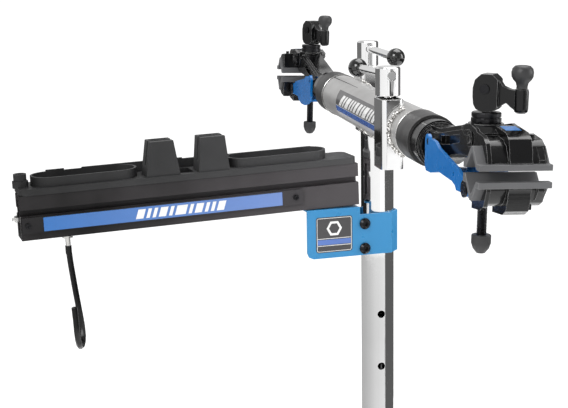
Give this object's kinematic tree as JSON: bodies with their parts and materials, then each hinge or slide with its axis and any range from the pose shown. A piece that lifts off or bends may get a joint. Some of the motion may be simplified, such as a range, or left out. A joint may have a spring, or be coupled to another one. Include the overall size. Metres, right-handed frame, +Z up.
{
  "type": "bike repair stand",
  "caption": "Double-arm workshop bike repair stand: heavy base, telescoping post, cross tube with two lockable quick-action clamps, swinging tool tray and hook.",
  "frame": {"origin": "centre of the base plate's underside, on the post's axis", "axes": "+Z up along the post, the cross tube lies along Y with the near clamp towards -Y, the tool tray reaches towards -X"},
  "size_m": [0.8878, 1.244, 1.5967],
  "materials": {
    "base_black": "satin textured black",
    "chrome": "polished chrome plate",
    "tube_grey": "silver-grey metallic paint",
    "zinc": "bright zinc plate",
    "black_steel": "black oxide",
    "plain_steel": "machined",
    "bushing_grey": "moulded nylon",
    "cast_black": "glossy black powder coat",
    "gloss_black": "polished phenolic",
    "blue_paint": "satin blue powder coat",
    "jaw_pad": "moulded rubber",
    "anodised_black": "black anodised extrusion",
    "strip_black": "satin black",
    "tray_plastic": "textured dark grey moulding",
    "vinyl": "dipped vinyl",
    "knob_plastic": "moulded"
  },
  "bodies": {
    "base": {"base_plate": "base_black", "column_sleeve": "base_black", "flange_bolt_1": "zinc", "flange_bolt_2": "zinc", "flange_bolt_3": "zinc", "flange_bolt_4": "zinc"},
    "mast": {"post": "chrome", "height_bolt": "zinc", "height_nut": "zinc", "cross_tube": "tube_grey", "near_lock_housing": "chrome", "near_lock_shoe": "plain_steel", "near_end_bushing": "bushing_grey", "far_lock_housing": "chrome", "far_lock_shoe": "plain_steel", "far_end_bushing": "bushing_grey"},
    "tray_arm": {"tray_bracket": "blue_paint", "bracket_bolt_1": "black_steel", "bracket_bolt_2": "black_steel", "tray_beam": "anodised_black", "label_strip": "strip_black", "strip_screw_1": "black_steel", "strip_screw_2": "black_steel", "beam_end_bolt": "zinc", "tool_tray": "tray_plastic", "hook_nut": "black_steel"},
    "hook": {"hook_rod": "zinc", "hook_coating": "vinyl"},
    "near_handle": {"near_lock_screw": "chrome", "near_lock_bar": "chrome", "near_lock_ball": "gloss_black"},
    "near_clamp": {"near_clamp_arm": "cast_black", "near_upper_pad": "jaw_pad"},
    "near_link": {"near_jaw_link": "blue_paint", "near_link_pin": "black_steel", "near_jaw_pin": "black_steel"},
    "near_lower_jaw": {"near_lower_jaw": "cast_black", "near_lower_pad": "jaw_pad"},
    "near_rod": {"near_clamp_rod": "black_steel", "near_rod_cap": "knob_plastic", "near_thrust_washer": "black_steel", "near_cam_pin": "black_steel"},
    "near_lever": {"near_cam_lever": "cast_black"},
    "near_knob": {"near_crank_knob": "knob_plastic"},
    "far_handle": {"far_lock_screw": "chrome", "far_lock_bar": "chrome", "far_lock_ball": "gloss_black"},
    "far_clamp": {"far_clamp_arm": "cast_black", "far_upper_pad": "jaw_pad"},
    "far_link": {"far_jaw_link": "blue_paint", "far_link_pin": "black_steel", "far_jaw_pin": "black_steel"},
    "far_lower_jaw": {"far_lower_jaw": "cast_black", "far_lower_pad": "jaw_pad"},
    "far_rod": {"far_clamp_rod": "black_steel", "far_rod_cap": "knob_plastic", "far_thrust_washer": "black_steel", "far_cam_pin": "black_steel"},
    "far_lever": {"far_cam_lever": "cast_black"},
    "far_knob": {"far_crank_knob": "knob_plastic"}
  },
  "joints": [
    {"name": "post_height", "type": "slide", "parent": "base", "child": "mast", "axis": [0, 0, 1], "range_m": [-0.022, 0.071]},
    {"name": "tray_swing", "type": "hinge", "parent": "mast", "child": "tray_arm", "pos_m": [0, 0, 1.3], "axis": [0, 0, 1], "range_deg": [-55, 45]},
    {"name": "hook_swivel", "type": "hinge", "parent": "tray_arm", "child": "hook", "pos_m": [-0.48014, -0.07409, 1.32627], "axis": [-0.0294, -0.0043, 0.9996], "continuous": true},
    {"name": "near_lock_turn", "type": "hinge", "parent": "mast", "child": "near_handle", "pos_m": [-0.0305, -0.187, 1.535], "axis": [0, 0, 1], "range_deg": [-90, 90]},
    {"name": "near_clamp_turn", "type": "hinge", "parent": "mast", "child": "near_clamp", "pos_m": [0, -0.3, 1.475], "axis": [0, -1, 0], "continuous": true},
    {"name": "near_jaw_link_swing", "type": "hinge", "parent": "near_clamp", "child": "near_link", "pos_m": [0.00035, -0.385, 1.48599], "axis": [0.9995, 0, -0.0314], "range_deg": [-2, 11]},
    {"name": "near_lower_jaw_level", "type": "hinge", "parent": "near_link", "child": "near_lower_jaw", "pos_m": [-0.00066, -0.55, 1.45401], "axis": [0.9995, 0, -0.0314], "range_deg": [-11, 2]},
    {"name": "near_rod_spin", "type": "hinge", "parent": "near_clamp", "child": "near_rod", "pos_m": [0.00188, -0.525, 1.53497], "axis": [0.0314, 0, 0.9995], "continuous": true},
    {"name": "near_lever_flip", "type": "hinge", "parent": "near_rod", "child": "near_lever", "pos_m": [0.00292, -0.525, 1.56795], "axis": [-0.5733, -0.8192, 0.018], "range_deg": [0, 90]},
    {"name": "near_knob_spin", "type": "hinge", "parent": "near_lever", "child": "near_knob", "pos_m": [0.03671, -0.54852, 1.5739], "axis": [0.0314, 0, 0.9995], "continuous": true},
    {"name": "far_lock_turn", "type": "hinge", "parent": "mast", "child": "far_handle", "pos_m": [0.0305, 0.187, 1.535], "axis": [0, 0, 1], "range_deg": [-90, 90]},
    {"name": "far_clamp_turn", "type": "hinge", "parent": "mast", "child": "far_clamp", "pos_m": [0, 0.3, 1.475], "axis": [0, 1, 0], "continuous": true},
    {"name": "far_jaw_link_swing", "type": "hinge", "parent": "far_clamp", "child": "far_link", "pos_m": [0.00035, 0.385, 1.48599], "axis": [-0.9995, 0, 0.0314], "range_deg": [-2, 11]},
    {"name": "far_lower_jaw_level", "type": "hinge", "parent": "far_link", "child": "far_lower_jaw", "pos_m": [-0.00066, 0.55, 1.45401], "axis": [-0.9995, 0, 0.0314], "range_deg": [-11, 2]},
    {"name": "far_rod_spin", "type": "hinge", "parent": "far_clamp", "child": "far_rod", "pos_m": [0.00188, 0.525, 1.53497], "axis": [0.0314, 0, 0.9995], "continuous": true},
    {"name": "far_lever_flip", "type": "hinge", "parent": "far_rod", "child": "far_lever", "pos_m": [0.00292, 0.525, 1.56795], "axis": [-0.8984, -0.4384, 0.0282], "range_deg": [0, 90]},
    {"name": "far_knob_spin", "type": "hinge", "parent": "far_lever", "child": "far_knob", "pos_m": [0.0211, 0.48815, 1.57439], "axis": [0.0314, 0, 0.9995], "continuous": true}
  ],
  "couplings": [
    {"joint": "near_lower_jaw_level", "follows": "near_jaw_link_swing", "ratio": -1},
    {"joint": "far_lower_jaw_level", "follows": "far_jaw_link_swing", "ratio": -1}
  ]
}
